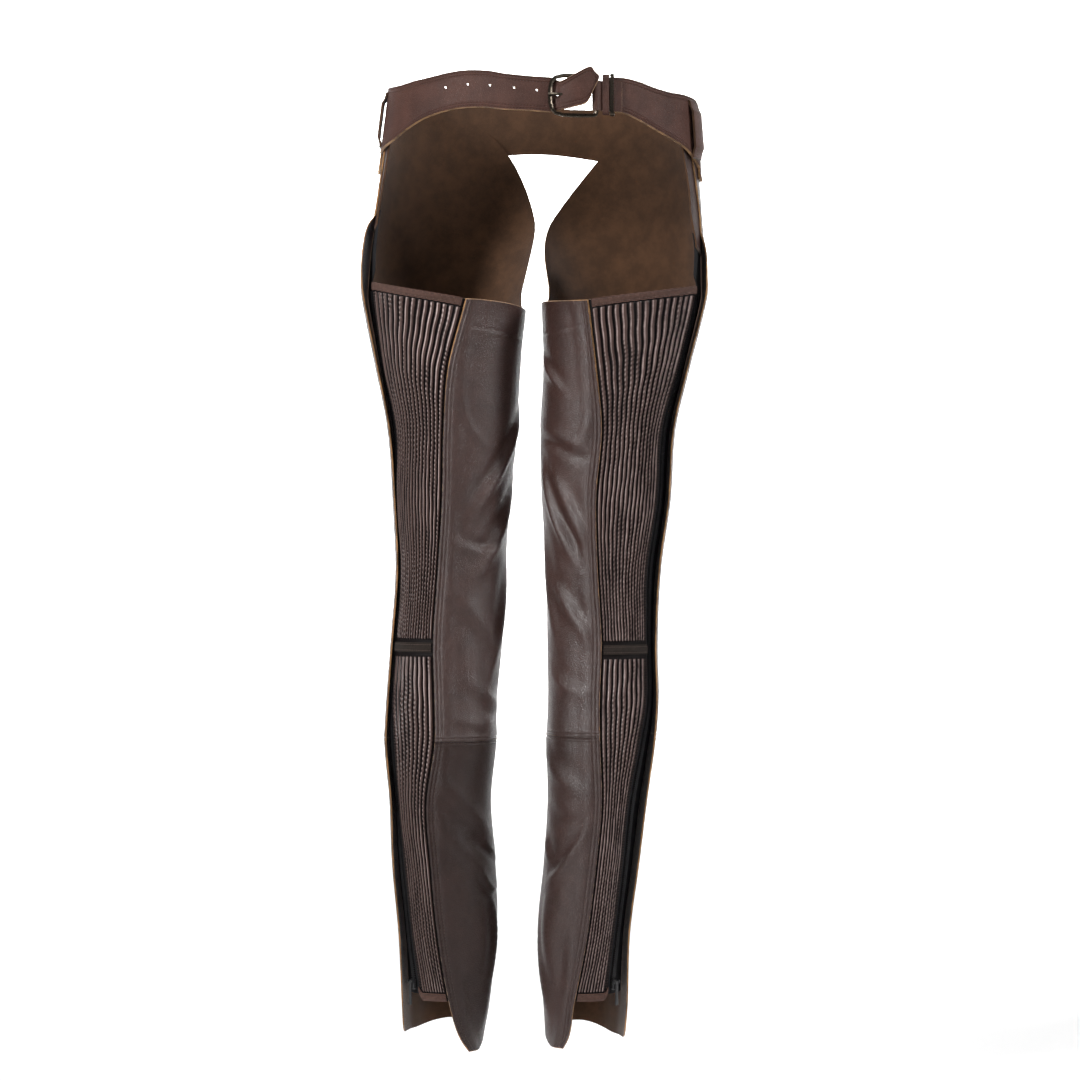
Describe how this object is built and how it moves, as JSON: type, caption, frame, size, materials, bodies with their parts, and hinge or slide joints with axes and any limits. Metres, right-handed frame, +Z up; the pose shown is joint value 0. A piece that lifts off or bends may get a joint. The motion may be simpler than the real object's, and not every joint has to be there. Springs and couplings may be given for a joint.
{
  "type": "leather chaps",
  "caption": "Full-length brown leather riding chaps in worn form, open over the seat, with pleated stretch panels, outer leg zips and a buckled back strap.",
  "frame": {"origin": "middle of the waist opening at belt level, where the wearer's waist holds the garment", "axes": "+Z up; the garment's back faces -Y; +X is the wearer's right"},
  "size_m": [0.3707, 0.2559, 1.0423],
  "materials": {
    "brown_leather": "satin smooth-grain chocolate leather with raw tan edges",
    "pleated_leather": "thin leather sewn into fine upright pleats over elastic",
    "knit_binding": "matt brown knitted elastic binding",
    "black_tape": "matt black woven zip tape",
    "black_zip": "black zip coil and lacquered slider",
    "dark_bronze": "dark antique bronze, polished on its edges"
  },
  "bodies": {
    "garment": {"thigh_panel_left": "brown_leather", "thigh_panel_right": "brown_leather", "shin_panel_left": "brown_leather", "shin_panel_right": "brown_leather", "stretch_upper_left": "pleated_leather", "stretch_upper_right": "pleated_leather", "stretch_lower_left": "pleated_leather", "stretch_lower_right": "pleated_leather", "top_binding_left": "knit_binding", "top_binding_right": "knit_binding", "cross_band_left": "knit_binding", "cross_band_right": "knit_binding", "bottom_binding_left": "knit_binding", "bottom_binding_right": "knit_binding", "hip_strip_left": "brown_leather", "hip_strip_right": "brown_leather", "zip_tape_flap_left": "black_tape", "zip_tape_flap_right": "black_tape", "zip_tape_stretch_left": "black_tape", "zip_tape_stretch_right": "black_tape", "zip_chain_left": "black_zip", "zip_chain_right": "black_zip", "zip_slider_left": "black_zip", "zip_slider_right": "black_zip", "belt_left": "brown_leather", "belt_right": "brown_leather", "front_waistband": "brown_leather", "hip_loop_left": "brown_leather", "hip_loop_right": "brown_leather", "buckle_chape": "brown_leather", "keeper_leather": "brown_leather", "keeper_metal": "dark_bronze", "buckle_frame": "dark_bronze", "buckle_prong": "dark_bronze"},
    "pull_left": {"zip_pull_left": "black_zip"},
    "pull_right": {"zip_pull_right": "black_zip"}
  },
  "joints": [
    {"name": "pull_left_swing", "type": "hinge", "parent": "garment", "child": "pull_left", "pos_m": [-0.14174, -0.04321, -0.9519], "axis": [-0.5418, 0.8405, 0], "range_deg": [0, 120]},
    {"name": "pull_right_swing", "type": "hinge", "parent": "garment", "child": "pull_right", "pos_m": [0.07874, -0.04724, -0.9519], "axis": [-0.5961, -0.8029, 0], "range_deg": [0, 120]}
  ]
}
